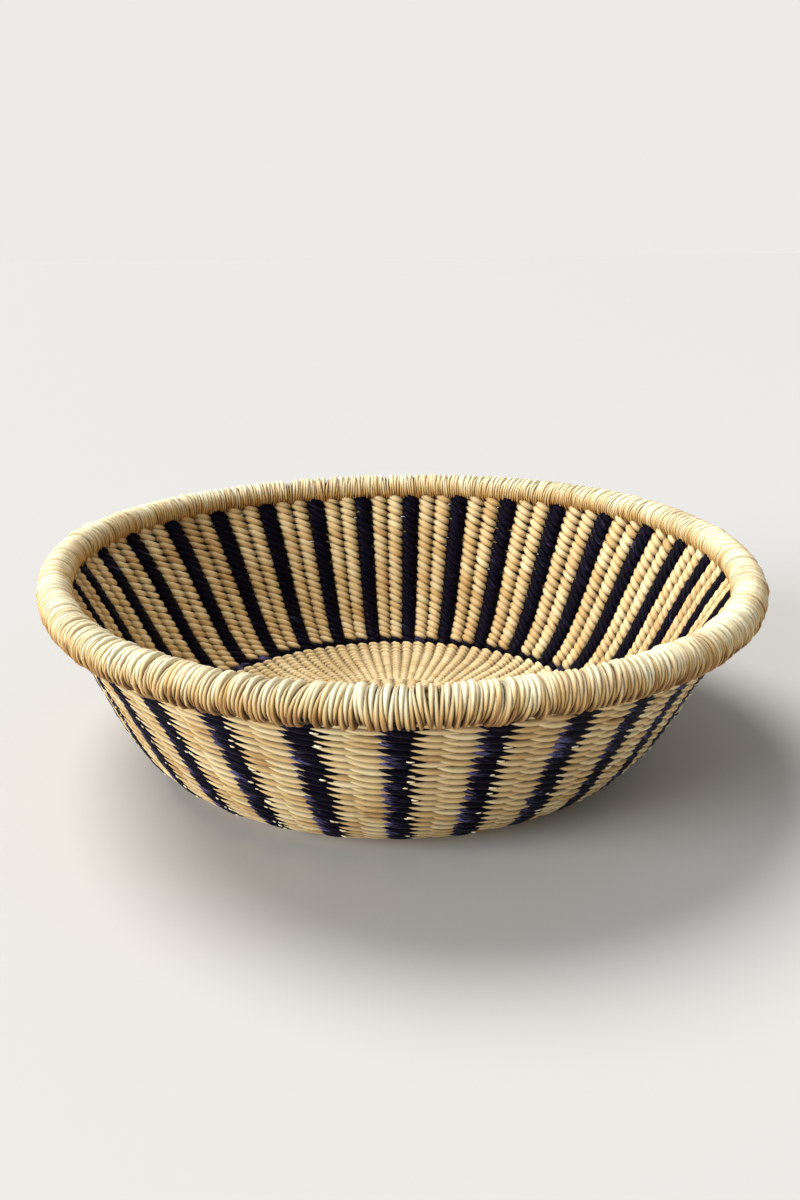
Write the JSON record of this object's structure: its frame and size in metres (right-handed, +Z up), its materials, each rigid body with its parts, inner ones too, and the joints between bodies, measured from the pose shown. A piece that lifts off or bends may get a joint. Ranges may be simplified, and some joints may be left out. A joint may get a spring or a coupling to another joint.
{
  "type": "woven grass tray",
  "caption": "Round shallow bowl-shaped tray of twined grass with dark vertical stripes, a plain flat base and a thick rim bound with a wrapped strand.",
  "frame": {"origin": "middle of the flat underside of the base", "axes": "+Z up along the axis of the bowl; +X and +Y lie in the plane it stands on"},
  "size_m": [0.34, 0.3398, 0.095],
  "materials": {
    "natural_grass": "twined natural grass strands, satin",
    "dyed_grass": "twined grass strands dyed very dark violet blue, slight sheen",
    "wrap_grass": "pale natural grass strand wrapped tight, satin",
    "stake_grass": "plain dry grass, matt"
  },
  "bodies": {
    "root": {"base_weave": "natural_grass", "start_knot": "stake_grass", "stake_01": "stake_grass", "stake_02": "stake_grass", "stake_03": "stake_grass", "stake_04": "stake_grass", "stake_05": "stake_grass", "stake_06": "stake_grass", "stake_07": "stake_grass", "stake_08": "stake_grass", "stake_09": "stake_grass", "stake_10": "stake_grass", "stake_11": "stake_grass", "stake_12": "stake_grass", "stake_13": "stake_grass", "stake_14": "stake_grass", "stake_15": "stake_grass", "stake_16": "stake_grass", "stake_17": "stake_grass", "stake_18": "stake_grass", "stake_19": "stake_grass", "stake_20": "stake_grass", "stake_21": "stake_grass", "stake_22": "stake_grass", "stake_23": "stake_grass", "stake_24": "stake_grass", "stake_25": "stake_grass", "stake_26": "stake_grass", "stake_27": "stake_grass", "stake_28": "stake_grass", "stake_29": "stake_grass", "stake_30": "stake_grass", "stake_31": "stake_grass", "stake_32": "stake_grass", "stake_33": "stake_grass", "stake_34": "stake_grass", "dark_weave_1": "dyed_grass", "natural_weave_1": "natural_grass", "dark_weave_2": "dyed_grass", "natural_weave_2": "natural_grass", "dark_weave_3": "dyed_grass", "natural_weave_3": "natural_grass", "dark_weave_4": "dyed_grass", "natural_weave_4": "natural_grass", "rim_core": "stake_grass", "rim_wrap": "wrap_grass"}
  },
  "joints": []
}
